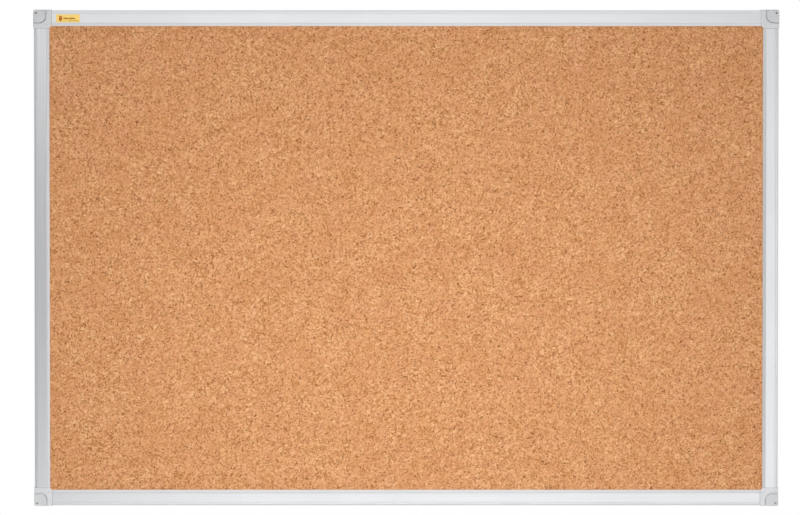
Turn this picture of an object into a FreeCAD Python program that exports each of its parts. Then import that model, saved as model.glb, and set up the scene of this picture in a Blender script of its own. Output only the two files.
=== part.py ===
"""Framed cork bulletin board, 900 x 600 mm, hung flat on a wall by four screws hidden in its corners.

The board faces -Y, +Z is up and +X is to the right of a person who looks at it. The origin is the centre
of the four wall-screw holes, on the wall plane y = 0. Depth is measured forward from the wall, along -Y.

All four corner blocks are one moulding, turned a quarter turn at each corner, so a block, its cover and its
screws are drawn in a corner frame: the board's outer corner on the wall plane, with "across" (+X) and
"up" (+Z) both running into the board, as at the bottom left. A rail is drawn in the frame of the corner
that it starts from, with its length along +X and its width along +Z.
"""
import FreeCAD, Part
import os
import re
from math import atan2, pi, sqrt

import Sketcher

SIZES = {
    # whole board
    "board_width": 900,
    "board_height": 600,
    # aluminium rail: widths run in from the board's outer edge, depths forward from the wall
    "rail_outer": 0.6,
    "rail_back": 0.5,
    "rail_front": 18.5,
    "rail_wall": 1.2,
    "rail_edge_radius": 2.4,
    "rail_gap": 0.2,
    "crease_width": 0.8,
    "crease_depth": 0.3,
    "crease_start": 3.6,
    "face_end": 16.1,
    "face_nose_radius": 0.9,
    "lip_crest": 17.5,
    "lip_tip": 19.4,
    "lip_edge": 16.0,
    "lip_radius": 0.5,
    "flange_tip": 18.8,
    "flange_back": 1.7,
    # slot round the frame that holds the layered panel
    "slot_root": 13.8,
    "slot_back": 3.0,
    "slot_front": 15.0,
    # the panel's layers, from the back
    "panel_edge": 14.1,
    "backing_thickness": 2.5,
    "core_thickness": 7.0,
    "cork_thickness": 2.4,
    # moulded corner block
    "corner_size": 22,
    "corner_front": 19.2,
    "corner_radius": 2.0,
    "corner_edge_radius": 0.5,
    "opening_radius": 2.5,
    "lip_slope_width": 3.1,
    "leg_length": 28,
    "leg_fit": 0.15,
    "leg_nose": 1.5,
    "leg_wall": 2.0,
    "core_depth": 13,
    "core_margin": 1.4,
    # wall-screw recess in the block
    "wall_screw_inset": 8.5,
    "recess_radius": 4.3,
    "recess_floor": 4.0,
    "wall_hole_radius": 2.25,
    # swivel of the cover on the block
    "pivot_inset": 3.3,
    "pivot_bore_radius": 1.75,
    "catch_bore_radius": 2.3,
    "catch_ledge": 11.7,
    # cover
    "cover_edge": 0.2,
    "cover_size": 14.6,
    "cover_back": 19.3,
    "cover_front": 20.6,
    "cover_outer_radius": 1.9,
    "cover_inner_radius": 7.2,
    "cover_corner_radius": 0.6,
    "cover_edge_radius": 0.6,
    "stud_radius": 1.7,
    "stud_hole_radius": 1.1,
    "stud_hole_depth": 4.0,
    "stud_core_radius": 0.9,
    "barb_radius": 2.0,
    "barb_length": 1.0,
    "barb_lead": 0.5,
    "stud_gap": 0.1,
    "stud_slit": 0.8,
    "slit_length": 5.4,
    # shadow groove round the cover, and the peg that stops the closed cover
    "seam_inside": 0.3,
    "seam_outside": 1.2,
    "seam_depth": 1.6,
    "peg_across": 2.0,
    "peg_up": 12.5,
    "peg_radius": 0.7,
    "peg_gap": 0.3,
    "stop_drop": 0.8,
    "stop_depth": 1.0,
    # self-tapping screws from the back of the rail into the block's legs
    "leg_screw_across": 36,
    "leg_screw_up": 7.2,
    "screw_head_radius": 2.6,
    "screw_head_height": 1.2,
    "screw_radius": 1.4,
    "screw_length": 9.5,
    "screw_tip": 1.2,
    "screw_tip_radius": 0.3,
    "screw_recess_width": 0.55,
    "screw_recess_span": 2.6,
    "screw_recess_depth": 0.7,
    "pilot_radius": 1.42,
    "pilot_depth": 12,
    "clearance_radius": 1.5,
    "countersink": 1.15,
    # sticker on the top rail
    "label_from_left": 27.8,
    "label_width": 28.5,
    "label_height": 9.6,
    "label_margin": 0.7,
    "label_corner_radius": 0.8,
    "label_thickness": 0.15,
}

# quarter turns of a corner's frame about +Y, and the side of the board that its outer corner is on
CORNERS = {
    "bottom_left": (0, -1, -1),
    "top_left": (1, -1, 1),
    "top_right": (2, 1, 1),
    "bottom_right": (3, 1, -1),
}
# the corner that each rail starts from, and the board size that it spans
RAILS = {
    "bottom": ("bottom_left", "board_width"),
    "left": ("top_left", "board_height"),
    "top": ("top_right", "board_width"),
    "right": ("bottom_right", "board_height"),
}
FRONT_VIEW = "XZ_Plane"  # drawn across +X and up +Z, stacked forward along -Y
END_VIEW = "YZ_Plane"  # drawn across +Y and up +Z, stacked along +X
Y_AXIS = FreeCAD.Vector(0, 1, 0)
Z_AXIS = FreeCAD.Vector(0, 0, 1)
NEAR = 0.01

doc = FreeCAD.newDocument("bulletin_board")
sheet = doc.addObject("Spreadsheet::Sheet", "Sizes")
sub_parts = []


def fill_sheet():
    """Write each size to the sheet as a plain number under its own alias."""
    for row, (alias, size) in enumerate(SIZES.items(), start=1):
        sheet.set(f"A{row}", alias.replace("_", " "))
        sheet.set(f"B{row}", str(size))
        sheet.setAlias(f"B{row}", alias)
    doc.recompute()


def formula(text):
    """Point every alias in a formula at the sheet, for use in another object."""
    return re.sub(r"[a-z_]+", lambda alias: f"{sheet.Name}.{alias.group()}", text)


def value(text):
    """Work out a formula in the sheet's aliases, in millimetres."""
    return sheet.evalExpression(text)


# placing


def place_at_corner(piece, corner):
    """Turn a piece drawn in the corner frame and set it at one corner of the board."""
    turns, side, end = CORNERS[corner]
    piece.Placement = FreeCAD.Placement(FreeCAD.Vector(), FreeCAD.Rotation(Y_AXIS, 90 * turns))
    piece.setExpression("Placement.Base.x", formula(f"{side} * board_width / 2"))
    piece.setExpression("Placement.Base.z", formula(f"{end} * board_height / 2"))


def new_body(label):
    body = doc.addObject("PartDesign::Body", label)
    sub_parts.append(body)
    return body


# sketches


def sketch_on(body, name, level, view):
    """Start a sketch on one of the body's own origin planes, moved along its normal to a level."""
    sketch = body.newObject("Sketcher::SketchObject", f"{body.Name}_{name}_sketch")
    plane = next(feature for feature in body.Origin.OriginFeatures if feature.Role == view)
    sketch.AttachmentSupport = (plane, [""])
    sketch.MapMode = "FlatFace"
    sketch.setExpression("AttachmentOffset.Base.z", formula(level))
    return sketch


def pin(sketch, number, position, across, up):
    """Hold one point of a sketch's geometry at the coordinates that two formulas give."""
    for kind, text in (("DistanceX", across), ("DistanceY", up)):
        held = sketch.addConstraint(
            Sketcher.Constraint(kind, -1, 1, number, position, value(text))
        )
        sketch.setExpression(f"Constraints[{held}]", formula(text))


def hold_radius(sketch, number, text):
    held = sketch.addConstraint(Sketcher.Constraint("Radius", number, value(text)))
    sketch.setExpression(f"Constraints[{held}]", formula(text))


def arc_between(start, end, radius, turn):
    """The arc under half a turn from start to end; turn is 1 to the left and -1 to the right."""
    chord = end - start
    rise = sqrt(radius**2 - (chord.Length / 2) ** 2)
    left = Z_AXIS.cross(chord).normalize()
    centre = start + chord * 0.5 + left * rise * turn
    first, last = (start, end) if turn > 0 else (end, start)
    angles = [atan2(point.y - centre.y, point.x - centre.x) for point in (first, last)]
    if angles[1] < angles[0]:
        angles[1] += 2 * pi
    return Part.ArcOfCircle(Part.Circle(centre, Z_AXIS, radius), *angles)


def add_loop(sketch, points):
    """Close a loop through points, each (across, up) or (across, up, radius, turn) where an arc starts."""
    corners = [FreeCAD.Vector(value(point[0]), value(point[1]), 0) for point in points]
    ends = []
    for number, point in enumerate(points):
        start = corners[number]
        end = corners[(number + 1) % len(corners)]
        if len(point) == 2:
            ends.append((sketch.addGeometry(Part.LineSegment(start, end), False), 1, 2))
            continue
        radius, turn = point[2:]
        arc = sketch.addGeometry(arc_between(start, end, value(radius), turn), False)
        ends.append((arc, 1, 2) if turn > 0 else (arc, 2, 1))
    for (side, _, last), (following, first, _) in zip(ends, ends[1:] + ends[:1]):
        sketch.addConstraint(Sketcher.Constraint("Coincident", side, last, following, first))
    for (side, first, _), point in zip(ends, points):
        pin(sketch, side, first, point[0], point[1])
        if len(point) > 2:
            hold_radius(sketch, side, point[2])


def loops(body, name, outlines, level="0", view=FRONT_VIEW):
    sketch = sketch_on(body, name, level, view)
    for points in outlines:
        add_loop(sketch, points)
    return sketch


def circles(body, name, centres, radius, level):
    """Sketch equal circles at centres that are pairs of formulas."""
    sketch = sketch_on(body, name, level, FRONT_VIEW)
    for across, up in centres:
        centre = FreeCAD.Vector(value(across), value(up), 0)
        number = sketch.addGeometry(Part.Circle(centre, Z_AXIS, value(radius)), False)
        pin(sketch, number, 3, across, up)
        hold_radius(sketch, number, radius)
    return sketch


def rectangle(left, bottom, right, top):
    return [(left, bottom), (right, bottom), (right, top), (left, top)]


def mirrored(points):
    """The same loop on the corner's other arm: across and up change places."""
    return [(up, across) for across, up in points]


# features


def pad(body, name, sketch, length):
    feature = body.newObject("PartDesign::Pad", f"{body.Name}_{name}")
    feature.Profile = sketch
    feature.setExpression("Length", formula(length))
    doc.recompute()


def pocket(body, name, sketch, depth, forward=False):
    """Cut from the sketch toward the wall, or along the sketch's normal where forward is set."""
    before = body.Shape.Volume
    feature = body.newObject("PartDesign::Pocket", f"{body.Name}_{name}")
    feature.Profile = sketch
    feature.Reversed = forward
    feature.setExpression("Length", formula(depth))
    doc.recompute()
    if body.Shape.Volume > before - NEAR:
        raise RuntimeError(f"{feature.Name} cuts nothing")


def edges_within(shape, across, up, forward):
    """Name the edges that lie inside three ranges of formulas: across, up and forward of the wall."""
    ranges = [[value(limit) for limit in limits] for limits in (across, up, forward)]
    names = []
    for number, edge in enumerate(shape.Edges, start=1):
        middle = edge.valueAt((edge.FirstParameter + edge.LastParameter) / 2)
        points = [vertex.Point for vertex in edge.Vertexes] + [middle]
        if all(
            low - NEAR <= place <= high + NEAR
            for point in points
            for place, (low, high) in zip((point.x, point.z, -point.y), ranges)
        ):
            names.append(f"Edge{number}")
    return names


def dress(body, kind, name, edges, **sizes):
    """Fillet or chamfer edges of the body's last feature; sizes are formulas for its properties."""
    base = body.Tip
    feature = body.newObject(f"PartDesign::{kind}", f"{body.Name}_{name}")
    feature.Base = (base, edges_within(base.Shape, *edges))
    if "Size2" in sizes:
        feature.ChamferType = "Two distances"
        feature.FlipDirection = True  # the first size lies on the front face, the second goes down the side
    for size, text in sizes.items():
        feature.setExpression(size, formula(text))
    doc.recompute()


# frame


def rail(name):
    """Hollow extrusion: creased front, sloping inner lip over the cork and a slot for the panel's edge."""
    corner, span = RAILS[name]
    body = new_body(f"frame_rail_{name}")
    section = [
        ("rail_outer", "rail_back"),
        ("rail_outer", "rail_front"),
        ("crease_start", "rail_front"),
        ("crease_start + crease_width / 2", "rail_front - crease_depth"),
        ("crease_start + crease_width", "rail_front"),
        ("face_end", "rail_front"),
        ("face_end", "lip_crest"),
        ("lip_tip - lip_slope_width", "lip_crest"),
        ("lip_tip", "lip_edge"),
        ("lip_tip", "slot_front"),
        ("slot_root", "slot_front"),
        ("slot_root", "slot_back"),
        ("flange_tip", "slot_back"),
        ("flange_tip", "flange_back"),
        ("slot_root", "flange_back"),
        ("slot_root", "rail_back"),
    ]
    chamber = rectangle(
        "rail_outer + rail_wall", "rail_back + rail_wall", "slot_root - rail_wall", "rail_front - rail_wall"
    )
    start = "corner_size + rail_gap"
    length = f"{span} - 2 * corner_size - 2 * rail_gap"
    for feature, points, build in (("section", section, pad), ("chamber", chamber, pocket)):
        turned = [(f"-({depth})", width) for width, depth in points]
        sketch = loops(body, feature, [turned], start, END_VIEW)
        if build is pad:
            pad(body, feature, sketch, length)
        else:
            pocket(body, feature, sketch, length, forward=True)
    along = ("0", span)
    outer = ("rail_outer", "rail_outer")
    inner = ("face_end", "face_end")
    front = ("rail_front", "rail_front")
    dress(body, "Fillet", "front_edge", (along, outer, front), Radius="rail_edge_radius")
    dress(body, "Fillet", "face_nose", (along, inner, front), Radius="face_nose_radius")
    tip = ("lip_tip", "lip_tip")
    dress(body, "Fillet", "lip", (along, tip, ("lip_edge", "lip_edge")), Radius="lip_radius")
    screw_holes = [
        ("leg_screw_across", "leg_screw_up"),
        (f"{span} - leg_screw_across", "leg_screw_up"),
    ]
    sketch = circles(body, "screw_holes", screw_holes, "clearance_radius", "rail_back")
    pocket(body, "screw_holes", sketch, "rail_wall", forward=True)
    back = ("rail_back", "rail_back")
    for number, (across, up) in enumerate(screw_holes):
        rims = (
            (f"{across} - clearance_radius", f"{across} + clearance_radius"),
            (f"{up} - clearance_radius", f"{up} + clearance_radius"),
            back,
        )
        dress(body, "Chamfer", f"countersink_{number}", rims, Size="countersink")
    place_at_corner(body, corner)


def panel_layer(label, back, thickness):
    """One flat sheet of the panel, its edges held in the slot all round the frame."""
    body = new_body(label)
    edge_across = "board_width / 2 - panel_edge"
    edge_up = "board_height / 2 - panel_edge"
    face = rectangle(f"-({edge_across})", f"-({edge_up})", edge_across, edge_up)
    pad(body, "sheet", loops(body, "sheet", [face], back), thickness)


# corners


def corner_block(corner):
    """Corner moulding with two legs that push into the rails, a screw recess and the cover's pivot bore."""
    body = new_body(f"corner_block_{corner}")
    add_block_and_legs(body)
    cut_panel_corner(body)
    cut_wall_screw_recess(body)
    cut_cover_seat(body)
    cut_back_of_block(body)
    place_at_corner(body, corner)


def add_block_and_legs(body):
    square = rectangle("0", "0", "corner_size", "corner_size")
    pad(body, "block", loops(body, "block", [square]), "corner_front")
    outer = ("0", "0")
    whole = ("0", "corner_size")
    front = ("corner_front", "corner_front")
    dress(body, "Fillet", "outer_corner", (outer, outer, ("0", "corner_front")), Radius="corner_radius")
    dress(body, "Fillet", "front_edges", (whole, whole, front), Radius="corner_edge_radius")
    near = "rail_outer + rail_wall + leg_fit"
    far = "slot_root - rail_wall - leg_fit"
    end = "corner_size + leg_length"
    legs = [
        (near, near),
        (f"{end} - leg_nose", near),
        (end, f"{near} + leg_nose"),
        (end, f"{far} - leg_nose"),
        (f"{end} - leg_nose", far),
        (far, far),
        (far, f"{end} - leg_nose"),
        (f"{far} - leg_nose", end),
        (f"{near} + leg_nose", end),
        (near, f"{end} - leg_nose"),
    ]
    back = "rail_back + rail_wall + leg_fit"
    depth = "rail_front - rail_back - 2 * rail_wall - 2 * leg_fit"
    pad(body, "legs", loops(body, "legs", [legs], back), depth)


def cut_panel_corner(body):
    """Carry the rails' slot, opening, lip and rear flange round the corner."""
    past = "corner_size + leg_fit"
    slot = rectangle("slot_root", "slot_root", past, past)
    pocket(body, "slot", loops(body, "slot", [slot], "slot_front"), "slot_front - slot_back")
    pocket(body, "rear_step", loops(body, "rear_step", [slot]), "flange_back", forward=True)
    crest = rectangle("face_end", "face_end", past, past)
    pocket(body, "lip_step", loops(body, "lip_step", [crest], "corner_front"), "corner_front - lip_crest")
    rounded = [
        ("lip_tip + opening_radius", "lip_tip"),
        (past, "lip_tip"),
        (past, past),
        ("lip_tip", past),
        ("lip_tip", "lip_tip + opening_radius", "opening_radius", 1),
    ]
    opening = loops(body, "opening", [rounded], "lip_crest")
    pocket(body, "opening", opening, "lip_crest - slot_front + leg_fit")
    inside = ("lip_tip", "corner_size")
    rim = (inside, inside, ("lip_crest", "lip_crest"))
    dress(body, "Chamfer", "lip_slope", rim, Size="lip_slope_width", Size2="lip_crest - lip_edge")


def cut_wall_screw_recess(body):
    """A round well for the head of the wall screw, and the hole through its floor."""
    centre = [("wall_screw_inset", "wall_screw_inset")]
    recess = circles(body, "recess", centre, "recess_radius", "corner_front")
    pocket(body, "recess", recess, "corner_front - recess_floor")
    hole = circles(body, "wall_hole", centre, "wall_hole_radius", "recess_floor")
    pocket(body, "wall_hole", hole, "recess_floor")


def cut_cover_seat(body):
    """The bore that the cover's stud turns in, the shadow groove round the cover and the peg's stop."""
    pivot = [("pivot_inset", "pivot_inset")]
    bore = circles(body, "pivot_bore", pivot, "pivot_bore_radius", "corner_front")
    pocket(body, "pivot_bore", bore, "corner_front - catch_ledge")
    catch = circles(body, "catch_bore", pivot, "catch_bore_radius", "catch_ledge")
    pocket(body, "catch_bore", catch, "catch_ledge")
    bend = "cover_size - cover_inner_radius"
    inner = "cover_size - seam_inside"
    outer = "cover_size + seam_outside"
    seam = [
        ("0", inner),
        (bend, inner, "cover_inner_radius - seam_inside", -1),
        (inner, bend),
        (inner, "0"),
        (outer, "0"),
        (outer, bend, "cover_inner_radius + seam_outside", 1),
        (bend, outer),
        ("0", outer),
    ]
    pocket(body, "seam", loops(body, "seam", [seam], "corner_front"), "seam_depth")
    reach = "(peg_radius + peg_gap)"
    stop = rectangle("0", f"peg_up - stop_drop - {reach}", f"peg_across + {reach}", f"peg_up + {reach}")
    pocket(body, "stop", loops(body, "stop", [stop], "corner_front"), "stop_depth")


def cut_back_of_block(body):
    """Core the arms and legs from the back to an even wall, and drill the legs for their screws."""
    arm_start = "slot_root + core_margin"
    arm_end = "corner_size - core_margin"
    arm = rectangle(arm_start, "leg_wall", arm_end, "slot_root - leg_wall")
    pocket(body, "arm_cores", loops(body, "arm_cores", [arm, mirrored(arm)]), "core_depth", forward=True)
    near = "rail_outer + rail_wall + leg_fit + leg_wall"
    far = "slot_root - rail_wall - leg_fit - leg_wall"
    boss = "(leg_wall + screw_head_radius)"
    root = rectangle("corner_size + leg_wall", near, f"leg_screw_across - {boss}", far)
    tip = rectangle(f"leg_screw_across + {boss}", near, "corner_size + leg_length - leg_wall", far)
    leg_cores = [root, tip, mirrored(root), mirrored(tip)]
    pocket(body, "leg_cores", loops(body, "leg_cores", leg_cores), "slot_front", forward=True)
    pilots = [("leg_screw_across", "leg_screw_up"), ("leg_screw_up", "leg_screw_across")]
    pocket(body, "pilots", circles(body, "pilots", pilots, "pilot_radius", "0"), "pilot_depth", forward=True)


def corner_cover(corner):
    """Square cap with one big round corner, on a split hollow stud that snaps into the block and turns."""
    body = new_body(f"corner_cover_{corner}")
    cap = rectangle("cover_edge", "cover_edge", "cover_size", "cover_size")
    pad(body, "cap", loops(body, "cap", [cap], "cover_back"), "cover_front - cover_back")
    low = ("cover_edge", "cover_edge")
    high = ("cover_size", "cover_size")
    whole = ("cover_edge", "cover_size")
    deep = ("cover_back", "cover_front")
    front = ("cover_front", "cover_front")
    dress(body, "Fillet", "outer_corner", (low, low, deep), Radius="cover_outer_radius")
    dress(body, "Fillet", "inner_corner", (high, high, deep), Radius="cover_inner_radius")
    dress(body, "Fillet", "side_corner", (low, high, deep), Radius="cover_corner_radius")
    dress(body, "Fillet", "end_corner", (high, low, deep), Radius="cover_corner_radius")
    dress(body, "Fillet", "front_edges", (whole, whole, front), Radius="cover_edge_radius")
    add_stud(body)
    foot = "corner_front - stop_depth + peg_gap"
    peg = circles(body, "peg", [("peg_across", "peg_up")], "peg_radius", foot)
    pad(body, "peg", peg, f"cover_back - ({foot}) + peg_gap")
    place_at_corner(body, corner)


def add_stud(body):
    """Stud, hollow from both ends, whose split foot springs through the bore and catches behind it."""
    pivot = [("pivot_inset", "pivot_inset")]
    foot = "catch_ledge - stud_gap - barb_length"
    stud = circles(body, "stud", pivot, "stud_radius", foot)
    pad(body, "stud", stud, f"cover_front - cover_edge_radius - ({foot})")
    pad(body, "barb", circles(body, "barb", pivot, "barb_radius", foot), "barb_length")
    around = ("pivot_inset - barb_radius", "pivot_inset + barb_radius")
    dress(body, "Chamfer", "barb_lead", (around, around, (foot, foot)), Size="barb_lead")
    hole = circles(body, "stud_hole", pivot, "stud_hole_radius", "cover_front")
    pocket(body, "stud_hole", hole, "stud_hole_depth")
    core = circles(body, "stud_core", pivot, "stud_core_radius", foot)
    pocket(body, "stud_core", core, "slit_length", forward=True)
    slit = rectangle(
        "pivot_inset - barb_radius",
        "pivot_inset - stud_slit / 2",
        "pivot_inset + barb_radius",
        "pivot_inset + stud_slit / 2",
    )
    pocket(body, "slit", loops(body, "slit", [slit], foot), "slit_length", forward=True)


# fasteners and sticker


def solid(kind, name, **sizes):
    piece = doc.addObject(f"Part::{kind}", name)
    for size, text in sizes.items():
        piece.setExpression(size, formula(text))
    return piece


def self_tapping_screw(name, across, up):
    """Countersunk cross-recess screw, its head flush with the rail's back and its tip forward."""
    head = solid("Cone", f"{name}_head", Radius1="screw_head_radius", Radius2="screw_radius")
    head.setExpression("Height", formula("screw_head_height"))
    shank = solid("Cylinder", f"{name}_shank", Radius="screw_radius")
    shank.setExpression("Height", formula("screw_length - screw_head_height - screw_tip"))
    shank.setExpression("Placement.Base.z", formula("screw_head_height"))
    tip = solid("Cone", f"{name}_tip", Radius1="screw_radius", Radius2="screw_tip_radius")
    tip.setExpression("Height", formula("screw_tip"))
    tip.setExpression("Placement.Base.z", formula("screw_length - screw_tip"))
    shaft = doc.addObject("Part::MultiFuse", f"{name}_shaft")
    shaft.Shapes = [head, shank, tip]
    wings = []
    for wing, (length, width) in enumerate(
        (("screw_recess_span", "screw_recess_width"), ("screw_recess_width", "screw_recess_span"))
    ):
        bar = solid("Box", f"{name}_wing_{wing}", Length=length, Width=width, Height="screw_recess_depth")
        bar.setExpression("Placement.Base.x", formula(f"-{length} / 2"))
        bar.setExpression("Placement.Base.y", formula(f"-{width} / 2"))
        wings.append(bar)
    cross = doc.addObject("Part::MultiFuse", f"{name}_cross")
    cross.Shapes = wings
    screw = doc.addObject("Part::Cut", name)
    screw.Base = shaft
    screw.Tool = cross
    screw.Placement.Rotation = FreeCAD.Rotation(FreeCAD.Vector(1, 0, 0), 90)
    screw.setExpression("Placement.Base.x", formula(across))
    screw.setExpression("Placement.Base.y", formula("-rail_back"))
    screw.setExpression("Placement.Base.z", formula(up))
    return screw


def rail_screws(corner):
    """The two screws at one corner, one through each rail's rear wall into the block's leg."""
    pair = doc.addObject("Part::Compound", f"rail_screws_{corner}")
    pair.Links = [
        self_tapping_screw(f"screw_{corner}_a", "leg_screw_across", "leg_screw_up"),
        self_tapping_screw(f"screw_{corner}_b", "leg_screw_up", "leg_screw_across"),
    ]
    place_at_corner(pair, corner)
    sub_parts.append(pair)


def label_sticker():
    """Thin sticker with rounded corners on the top rail's face, next to the crease."""
    body = new_body("label_sticker")
    left = "label_from_left - board_width / 2"
    top = "board_height / 2 - crease_start - crease_width - label_margin"
    right = f"{left} + label_width"
    bottom = f"{top} - label_height"
    face = rectangle(left, bottom, right, top)
    pad(body, "sticker", loops(body, "sticker", [face], "rail_front"), "label_thickness")
    through = ("rail_front", "rail_front + label_thickness")
    sides = [(side, end) for side in (left, right) for end in (bottom, top)]
    for number, (side, end) in enumerate(sides):
        corner = ((side, side), (end, end), through)
        dress(body, "Fillet", f"corner_{number}", corner, Radius="label_corner_radius")


def export():
    """Check every object of the document, then write each sub-part to its own file."""
    doc.recompute()
    for item in doc.Objects:
        if "Invalid" in item.State or "Error" in item.State:
            raise RuntimeError(f"{item.Name} is {item.State}")
        if item.TypeId == "Sketcher::SketchObject" and not item.FullyConstrained:
            raise RuntimeError(f"{item.Name} is not fully constrained")
    for piece in sub_parts:
        if piece.Shape.isNull() or not piece.Shape.isValid():
            raise RuntimeError(f"{piece.Label} has no valid shape")
    os.makedirs("parts", exist_ok=True)
    for piece in sub_parts:
        piece.Shape.exportStep(f"parts/{piece.Label}.step")


fill_sheet()
panel_layer("backing_board", "slot_back", "backing_thickness")
panel_layer("core_board", "slot_back + backing_thickness", "core_thickness")
panel_layer("cork_sheet", "slot_back + backing_thickness + core_thickness", "cork_thickness")
for rail_name in RAILS:
    rail(rail_name)
for corner_name in CORNERS:
    corner_block(corner_name)
    corner_cover(corner_name)
    rail_screws(corner_name)
label_sticker()
export()
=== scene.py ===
"""Looks of the framed cork bulletin board: materials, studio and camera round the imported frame.

Blender works in metres. Sizes that are easier to read in millimetres are written as a number times MM.
"""
from math import cos, radians, sin, tau

import bpy
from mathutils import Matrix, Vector


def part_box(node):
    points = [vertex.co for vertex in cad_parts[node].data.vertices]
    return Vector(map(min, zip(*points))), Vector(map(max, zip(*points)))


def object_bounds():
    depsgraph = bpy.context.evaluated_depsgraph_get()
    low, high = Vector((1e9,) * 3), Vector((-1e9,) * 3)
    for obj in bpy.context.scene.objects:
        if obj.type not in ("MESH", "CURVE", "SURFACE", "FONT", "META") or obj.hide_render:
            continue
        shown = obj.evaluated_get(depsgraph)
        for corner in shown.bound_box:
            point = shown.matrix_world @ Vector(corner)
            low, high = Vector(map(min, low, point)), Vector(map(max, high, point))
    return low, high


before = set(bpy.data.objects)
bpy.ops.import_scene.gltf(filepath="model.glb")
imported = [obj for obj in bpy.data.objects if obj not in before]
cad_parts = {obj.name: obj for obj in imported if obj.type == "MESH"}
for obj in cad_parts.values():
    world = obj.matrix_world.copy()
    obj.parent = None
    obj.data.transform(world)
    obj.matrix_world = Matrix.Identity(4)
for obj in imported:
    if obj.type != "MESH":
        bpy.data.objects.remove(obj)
cad_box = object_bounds()

MM = 0.001
WHITE = (1.0, 1.0, 1.0, 1.0)


def srgb(red, green, blue):
    """A display colour, 0 to 255, as the linear colour that the shaders take."""

    def linear(level):
        share = level / 255
        if share <= 0.04045:
            return share / 12.92
        return ((share + 0.055) / 1.055) ** 2.4

    return (linear(red), linear(green), linear(blue), 1.0)


class Material:
    """A procedural material: its shader, the object's own coordinates and short forms of its nodes."""

    def __init__(self, name, **shader):
        self.data = bpy.data.materials.new(name)
        self.data.use_nodes = True
        self.tree = self.data.node_tree
        self.shader = self.tree.nodes["Principled BSDF"]
        self.place = self.node("TexCoord").outputs["Object"]
        self.set(shader)

    def set(self, values):
        """Set or link the shader's inputs; an underscore in a name stands for a space."""
        named = {name.replace("_", " "): value for name, value in values.items()}
        self.feed(self.shader, named)

    def feed(self, node, inputs):
        """Link or set a node's inputs, each found by its name or by its number."""
        for key, source in inputs.items():
            if isinstance(key, str):
                socket = next(slot for slot in node.inputs if slot.name.lower() == key.lower())
            else:
                socket = node.inputs[key]
            if isinstance(source, bpy.types.NodeSocket):
                self.tree.links.new(source, socket)
            else:
                socket.default_value = source

    def node(self, kind, inputs=None, **settings):
        made = self.tree.nodes.new(f"ShaderNode{kind}")
        for name, setting in settings.items():
            setattr(made, name, setting)
        self.feed(made, inputs or {})
        return made

    def math(self, operation, *values):
        return self.node("Math", dict(enumerate(values)), operation=operation).outputs[0]

    def vector(self, operation, *values):
        return self.node("VectorMath", dict(enumerate(values)), operation=operation).outputs[0]

    def length(self, vector):
        return self.node("VectorMath", {0: vector}, operation="LENGTH").outputs["Value"]

    def mix(self, factor, first, second):
        """Blend two colours; the node keeps its colour sockets after the ones for plain numbers."""
        inputs = {0: factor, 6: first, 7: second}
        return self.node("Mix", inputs, data_type="RGBA").outputs[2]

    def stain(self, colour, mask, share, other):
        """Mix another colour in, by the share where the mask is 1 and not at all where it is 0."""
        return self.mix(self.math("MULTIPLY", mask, share), colour, other)

    def stretch(self, place, x, y, z):
        """Scale the coordinates; a factor below 1 draws the pattern out along that axis."""
        return self.vector("MULTIPLY", place, (x, y, z))

    def noise(self, place, size, detail=2.0, roughness=0.5):
        inputs = {"Vector": place, "Scale": 1 / size, "Detail": detail, "Roughness": roughness}
        return self.node("TexNoise", inputs).outputs[0]

    def wobble(self, place, size, amount):
        """Move the coordinates about by up to half the amount, in patches of a size."""
        inputs = {"Vector": place, "Scale": 1 / size, "Detail": 2.0}
        shift = self.vector("SUBTRACT", self.node("TexNoise", inputs).outputs[1], (0.5, 0.5, 0.5))
        return self.vector("ADD", place, self.stretch(shift, amount, amount, amount))

    def cells(self, place, size, feature="F1"):
        return self.node("TexVoronoi", {"Vector": place, "Scale": 1 / size}, feature=feature)

    def chance(self, cells):
        """A random number from 0 to 1 that is the same all over one cell."""
        return self.node("SeparateColor", {0: cells.outputs["Color"]}).outputs[0]

    def ramp(self, factor, stops):
        made = self.node("ValToRGB", {0: factor})
        elements = made.color_ramp.elements
        while len(elements) < len(stops):
            elements.new(1.0)
        for element, (position, colour) in zip(elements, stops):
            element.position = position
            element.color = colour
        return made.outputs[0]

    def between(self, value, low, high, bottom=0.0, top=1.0):
        """Rise smoothly from bottom to top as the value goes from low to high."""
        inputs = {"Value": value, "From Min": low, "From Max": high, "To Min": bottom, "To Max": top}
        return self.node("MapRange", inputs, interpolation_type="SMOOTHSTEP").outputs[0]

    def relief(self, height, depth, strength, base=None):
        """Bump the surface by a height from 0 to 1 that stands for a real depth."""
        made = self.node("Bump", {"Height": height, "Distance": depth, "Strength": strength})
        if base is not None:
            self.feed(made, {"Normal": base})
        return made.outputs[0]


# materials


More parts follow.
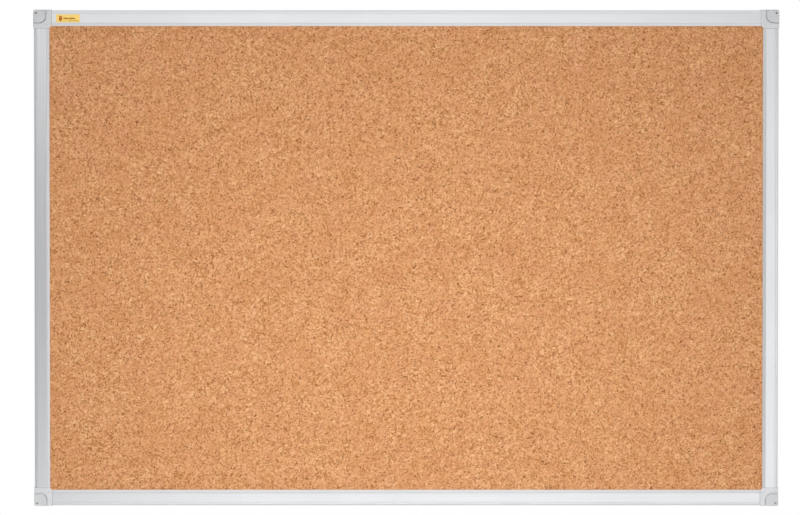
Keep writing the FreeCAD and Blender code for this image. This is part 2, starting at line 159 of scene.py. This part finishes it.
def cork():
    """Agglomerated cork: pressed granules of many tans, ragged bark flecks and broken crevices
    darkened by painted shade.
    """
    granule = 4.6 * MM
    crumb = 1.6 * MM
    m = Material("cork", roughness=0.88, specular_ior_level=0.25)
    warped = m.wobble(m.place, 3.0 * MM, 2.6 * MM)
    large = m.cells(warped, granule)
    small = m.cells(m.wobble(m.place, 1.2 * MM, 1.0 * MM), crumb)
    tans = [
        (0.00, srgb(154, 94, 40)),
        (0.12, srgb(183, 123, 75)),
        (0.45, srgb(210, 152, 102)),
        (0.80, srgb(225, 173, 124)),
        (1.00, srgb(236, 192, 146)),
    ]
    coarse = m.ramp(m.chance(large), tans)
    fine = m.ramp(m.chance(small), tans)
    colour = m.mix(0.7, coarse, fine)
    mottle = m.noise(m.place, 0.5 * MM, 3.0, 0.6)
    colour = m.stain(colour, m.between(mottle, 0.3, 0.7), 0.25, srgb(196, 136, 88))
    patch = m.noise(m.place, 40 * MM, 3.0)
    colour = m.mix(m.between(patch, 0.35, 0.7, 0.05, 0.38), colour, srgb(200, 136, 88))
    rosy = m.noise(m.place, 18 * MM, 2.0)
    colour = m.stain(colour, m.between(rosy, 0.4, 0.65), 0.2, srgb(216, 150, 116))
    to_edge = m.cells(warped, granule, "DISTANCE_TO_EDGE").outputs[0]
    crevice = m.between(to_edge, 0.0, 0.13, 1.0, 0.0)
    broken = m.between(m.noise(m.place, 2.4 * MM, 2.0), 0.45, 0.62)
    # painted shade: the broken crevices between granules are darkened in the colour and also sunk by
    # the bump
    shaded_crevices = m.math("MULTIPLY", crevice, broken)
    colour = m.stain(colour, shaded_crevices, 0.75, srgb(153, 89, 38))
    ragged = m.noise(m.wobble(m.place, 2.0 * MM, 3.0 * MM), 2.0 * MM, 1.0)
    bark = m.between(ragged, 0.64, 0.67)
    colour = m.stain(colour, bark, 0.9, srgb(116, 60, 20))
    grain = m.math("MULTIPLY_ADD", m.chance(large), 0.5, m.math("MULTIPLY", mottle, 0.5))
    grain = m.math("SUBTRACT", grain, m.math("MULTIPLY", shaded_crevices, 0.8))
    grain = m.math("SUBTRACT", grain, m.math("MULTIPLY", bark, 0.4))
    m.set({"base_color": colour, "normal": m.relief(grain, 0.35 * MM, 0.7)})
    return m.data


def fibreboard():
    """Raw softboard: pale, felted wood fibres lying flat in every direction."""
    m = Material("fibre_core", roughness=0.95)
    felted = m.wobble(m.stretch(m.place, 1.0, 8.0, 5.0), 6 * MM, 5 * MM)
    fibres = m.noise(felted, 2.5 * MM, 4.0, 0.65)
    fluff = m.noise(m.place, 0.6 * MM, 3.0)
    tans = [(0.3, srgb(150, 126, 92)), (0.55, srgb(190, 166, 128)), (0.8, srgb(212, 192, 156))]
    colour = m.ramp(fibres, tans)
    colour = m.stain(colour, m.between(fluff, 0.4, 0.7), 0.3, srgb(172, 146, 108))
    m.set({"base_color": colour, "normal": m.relief(fibres, 0.3 * MM, 0.6)})
    return m.data


def hardboard():
    """Rough side of pressed hardboard: brown, flecked with fibres, marked by the wire screen."""
    wire_pitch = 1.5 * MM
    m = Material("hardboard", roughness=0.72, specular_ior_level=0.3)
    fibres = m.noise(m.wobble(m.place, 6 * MM, 5 * MM), 1.3 * MM, 5.0, 0.7)
    cloud = m.noise(m.place, 60 * MM, 4.0)
    browns = [(0.30, srgb(88, 58, 36)), (0.52, srgb(122, 84, 54)), (0.75, srgb(152, 110, 74))]
    colour = m.ramp(fibres, browns)
    colour = m.stain(colour, m.between(cloud, 0.35, 0.7), 0.4, srgb(104, 70, 45))
    flecks = m.cells(m.wobble(m.stretch(m.place, 1.0, 1.0, 3.0), 5 * MM, 6 * MM), 7 * MM)
    reach = m.between(m.chance(flecks), 0.6, 1.0, 0.0, 0.22)
    pale = m.math("LESS_THAN", flecks.outputs["Distance"], reach)
    colour = m.stain(colour, pale, 0.5, srgb(176, 134, 94))
    split = m.node("SeparateXYZ", {0: m.place})
    wave_width = wire_pitch / tau
    waves = [m.math("SINE", m.math("DIVIDE", split.outputs[axis], wave_width)) for axis in (0, 2)]
    weave = m.math("MULTIPLY_ADD", m.math("MULTIPLY", *waves), 0.5, 0.5)
    height = m.math("MULTIPLY_ADD", weave, 0.6, m.math("MULTIPLY", fibres, 0.4))
    m.set({"base_color": colour, "normal": m.relief(height, 0.18 * MM, 0.7)})
    return m.data


def aluminium(name, length):
    """Satin anodised extrusion: faint die lines along its length axis and a slight cloudiness."""
    line_draw = 0.002
    m = Material(name, metallic=1.0)
    factors = [1.0, 1.0, 1.0]
    factors["XYZ".index(length)] = line_draw
    along = m.stretch(m.place, *factors)
    lines = m.noise(along, 0.35 * MM, 4.0, 0.6)
    fine = m.noise(along, 0.09 * MM, 2.0)
    cloud = m.noise(m.place, 70 * MM, 3.0)
    grain = m.noise(m.place, 0.18 * MM, 2.0)
    colour = m.ramp(lines, [(0.30, srgb(224, 226, 228)), (0.70, srgb(238, 239, 241))])
    colour = m.stain(colour, m.between(cloud, 0.35, 0.65), 0.25, srgb(226, 228, 232))
    rough = m.math("MULTIPLY_ADD", lines, 0.10, 0.32)
    rough = m.math("MULTIPLY_ADD", cloud, 0.05, rough)
    height = m.math("ADD", m.math("MULTIPLY", lines, 0.7), m.math("MULTIPLY", fine, 0.3))
    normal = m.relief(grain, 0.006 * MM, 0.5, m.relief(height, 0.012 * MM, 0.6))
    m.set({"base_color": colour, "roughness": rough, "normal": normal})
    return m.data


def moulded_plastic(name, pale, dark):
    """Light grey moulded ABS with a fine spark-eroded grain and faint flow clouds."""
    m = Material(name, specular_ior_level=0.45)
    grain = m.noise(m.place, 0.22 * MM, 3.0, 0.6)
    pits = m.cells(m.place, 0.35 * MM)
    flow = m.noise(m.stretch(m.place, 1.0, 1.0, 0.4), 9 * MM, 3.0)
    colour = m.mix(m.between(flow, 0.3, 0.7), dark, pale)
    colour = m.stain(colour, m.between(grain, 0.35, 0.75), 0.25, dark)
    rough = m.math("MULTIPLY_ADD", grain, 0.18, 0.40)
    height = m.math("MULTIPLY_ADD", pits.outputs["Distance"], 0.4, m.math("MULTIPLY", grain, 0.6))
    m.set({"base_color": colour, "roughness": rough, "normal": m.relief(height, 0.03 * MM, 0.6)})
    return m.data


def zinc():
    """Bright zinc plate on a steel screw: mottled, with fine turning marks."""
    m = Material("zinc_plate", metallic=1.0)
    spangle = m.noise(m.place, 0.8 * MM, 3.0)
    turned = m.noise(m.stretch(m.place, 1.0, 0.05, 1.0), 0.12 * MM, 2.0)
    colour = m.ramp(spangle, [(0.3, srgb(196, 196, 192)), (0.7, srgb(222, 222, 218))])
    rough = m.math("MULTIPLY_ADD", spangle, 0.2, 0.2)
    m.set({"base_color": colour, "roughness": rough, "normal": m.relief(turned, 0.01 * MM, 0.5)})
    return m.data


def sticker():
    """Yellow sticker printed with a plain push pin, two bold bars and two thin ones."""
    m = Material("printed_sticker", roughness=0.42, specular_ior_level=0.3)
    low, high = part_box("label_sticker")
    centre = (low + high) / 2
    split = m.node("SeparateXYZ", {0: m.vector("SUBTRACT", m.place, tuple(centre))})
    across, up = split.outputs[0], split.outputs[2]
    soft = 0.08 * MM
    pin_x = -9.0 * MM

    def bar(x, z, width, height):
        """Mask of an upright rectangle about a point, with a slightly soft edge."""
        sides = []
        for place, middle, size in ((across, x, width), (up, z, height)):
            gap = m.math("ABSOLUTE", m.math("SUBTRACT", place, middle))
            sides.append(m.between(gap, size / 2 - soft, size / 2 + soft, 1.0, 0.0))
        return m.math("MULTIPLY", *sides)

    def disc(x, z, radius):
        """Mask of a disc about a point, with the same soft edge."""
        offset = {0: m.math("SUBTRACT", across, x), 1: m.math("SUBTRACT", up, z)}
        distance = m.length(m.node("CombineXYZ", offset).outputs[0])
        return m.between(distance, radius - soft, radius + soft, 1.0, 0.0)

    def together(pieces):
        """Mask of everything that any of the pieces covers."""
        shape = pieces[0]
        for piece in pieces[1:]:
            shape = m.math("MAXIMUM", shape, piece)
        return shape

    # from the top down: the pin's cap, neck, round grip and needle
    pin = [
        bar(pin_x, 2.2 * MM, 4.4 * MM, 1.0 * MM),
        bar(pin_x, 1.0 * MM, 2.6 * MM, 2.6 * MM),
        disc(pin_x, -0.5 * MM, 2.1 * MM),
        bar(pin_x, -2.9 * MM, 0.7 * MM, 2.2 * MM),
    ]
    bold = [bar(x * MM, 0.0, width * MM, 1.7 * MM) for x, width in ((-2.6, 6.0), (4.6, 7.4))]
    thin = [bar(x * MM, -2.6 * MM, width * MM, 0.9 * MM) for x, width in ((2.6, 5.0), (9.0, 6.2))]
    paper = m.noise(m.place, 1.5 * MM, 4.0)
    ground = m.ramp(paper, [(0.3, srgb(247, 204, 104)), (0.7, srgb(252, 216, 126))])
    colour = m.mix(m.between(up, -4.8 * MM, 1.0 * MM, 0.35, 0.0), ground, srgb(206, 184, 96))
    colour = m.mix(together(pin), colour, srgb(178, 98, 2))
    colour = m.mix(together(bold), colour, srgb(172, 112, 8))
    colour = m.stain(colour, together(thin), 0.7, srgb(166, 146, 46))
    m.set({"base_color": colour, "normal": m.relief(paper, 0.02 * MM, 0.3)})
    return m.data


def paint(material, *nodes):
    """Give a material, and no other, to the meshes of some of the frame's nodes."""
    for node in nodes:
        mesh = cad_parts[node].data
        mesh.materials.clear()
        mesh.materials.append(material)


def paint_board():
    corners = ("top_left", "top_right", "bottom_left", "bottom_right")
    paint(cork(), "cork_sheet")
    paint(fibreboard(), "core_board")
    paint(hardboard(), "backing_board")
    paint(aluminium("anodised_across", "X"), "frame_rail_top", "frame_rail_bottom")
    paint(aluminium("anodised_upright", "Z"), "frame_rail_left", "frame_rail_right")
    block = moulded_plastic("block_plastic", srgb(209, 210, 211), srgb(202, 203, 205))
    cover = moulded_plastic("cover_plastic", srgb(202, 203, 204), srgb(195, 196, 198))
    paint(block, *(f"corner_block_{corner}" for corner in corners))
    paint(cover, *(f"corner_cover_{corner}" for corner in corners))
    paint(zinc(), *(f"rail_screws_{corner}" for corner in corners))
    paint(sticker(), "label_sticker")


# studio


def white_room(front, behind):
    """White surroundings, seen as pure white, that light the board more from behind than in front."""
    # the strength rises over this range of a direction's Y, from the front to the back
    rise_start = -0.95
    rise_end = 0.2
    world = bpy.data.worlds.new("white_room")
    bpy.context.scene.world = world
    world.use_nodes = True
    tree = world.node_tree

    def node(kind, **settings):
        made = tree.nodes.new(f"ShaderNode{kind}")
        for name, setting in settings.items():
            setattr(made, name, setting)
        return made

    depth = node("SeparateXYZ")
    tree.links.new(node("TexCoord").outputs["Generated"], depth.inputs[0])
    strength = node("MapRange", interpolation_type="SMOOTHSTEP")
    tree.links.new(depth.outputs[1], strength.inputs["Value"])
    strength.inputs["From Min"].default_value = rise_start
    strength.inputs["From Max"].default_value = rise_end
    strength.inputs["To Min"].default_value = front
    strength.inputs["To Max"].default_value = behind
    lights = tree.nodes["Background"]
    lights.inputs["Color"].default_value = WHITE
    tree.links.new(strength.outputs[0], lights.inputs["Strength"])
    seen = node("Background")
    seen.inputs["Color"].default_value = WHITE
    choose = node("MixShader")
    tree.links.new(node("LightPath").outputs["Is Camera Ray"], choose.inputs[0])
    tree.links.new(lights.outputs[0], choose.inputs[1])
    tree.links.new(seen.outputs[0], choose.inputs[2])
    tree.links.new(choose.outputs[0], tree.nodes["World Output"].inputs["Surface"])


def softbox(name, place, aim, width, height, power, diffuse=True, glossy=True):
    """A soft light panel, itself out of view, which may be left out of diffuse light or of gloss."""
    light = bpy.data.lights.new(name, "AREA")
    light.shape = "RECTANGLE"
    light.size = width
    light.size_y = height
    light.energy = power
    lamp = bpy.data.objects.new(name, light)
    bpy.context.scene.collection.objects.link(lamp)
    lamp.location = place
    lamp.rotation_mode = "QUATERNION"
    lamp.rotation_quaternion = (Vector(aim) - Vector(place)).to_track_quat("-Z", "Y")
    lamp.visible_camera = False
    lamp.visible_diffuse = diffuse
    lamp.visible_glossy = glossy


def floor(radius, drop):
    """A pale round floor well below the board, fading out at its rim and clear from underneath."""
    fade_start = 0.35 * radius
    fade_end = 0.98 * radius
    centre = (0, 0, cad_box[0].z - drop)
    bpy.ops.mesh.primitive_circle_add(vertices=96, radius=radius, fill_type="NGON", location=centre)
    disc = bpy.context.object
    disc.name = "pale_floor"
    m = Material("pale_floor", base_color=srgb(246, 246, 246), roughness=0.6)
    fade = m.between(m.length(m.place), fade_start, fade_end, 1.0, 0.0)
    upper = m.math("SUBTRACT", 1.0, m.node("NewGeometry").outputs["Backfacing"])
    grain = m.noise(m.place, 20 * MM, 3.0)
    m.set({"normal": m.relief(grain, 0.05 * MM, 0.2), "alpha": m.math("MULTIPLY", fade, upper)})
    disc.data.materials.append(m.data)


def camera(distance, elevation, width_seen, aside, above):
    """A long lens in front of the board and slightly above it, aimed aside and above its middle."""
    low, high = cad_box
    aim = (low + high) / 2 + Vector((aside, 0, above))
    rise = radians(elevation)
    back = Vector((0, -cos(rise), sin(rise)))
    lens = bpy.data.cameras.new("long_lens")
    lens.sensor_width = 36.0
    lens.lens = lens.sensor_width * distance / width_seen
    lens.clip_end = 4 * distance
    stand = bpy.data.objects.new("camera", lens)
    bpy.context.scene.collection.objects.link(stand)
    stand.location = aim + back * distance
    stand.rotation_mode = "QUATERNION"
    stand.rotation_quaternion = (-back).to_track_quat("-Z", "Y")
    bpy.context.scene.camera = stand


paint_board()
white_room(front=0.38, behind=0.8)
floor(radius=3.0, drop=0.9)
# each light's place, the point that it faces, its width and height, and its power in watts
softbox("front_low", (0, -1.0, -0.14), (0, 0, -0.14), 0.75, 0.4, 8.1, glossy=False)
softbox("overhead", (0, -0.7, 1.7), (0, 0, 0), 2.2, 1.0, 3.0)
softbox("right_card", (0.58, -1.0, -0.18), (0.58, 0, -0.18), 0.36, 0.74, 0.86, diffuse=False)
softbox("right_edge", (0.68, -0.3, -0.05), (0.45, 0, -0.05), 0.2, 0.6, 0.22, diffuse=False)
softbox("sky_card", (0, -1.0, 0.9), (0, 0, -0.1), 1.1, 0.4, 0.9, diffuse=False)
softbox("top_card", (-0.1, -1.0, 0.34), (-0.1, 0, 0.34), 0.98, 0.3, 1.24, diffuse=False)
softbox("bottom_card", (-0.07, -1.0, -0.54), (-0.07, 0, -0.54), 0.84, 0.4, 1.62, diffuse=False)
camera(distance=12.0, elevation=3.6, width_seen=0.967, aside=-7.5 * MM, above=0.6 * MM)
bpy.context.scene.view_settings.view_transform = "Standard"
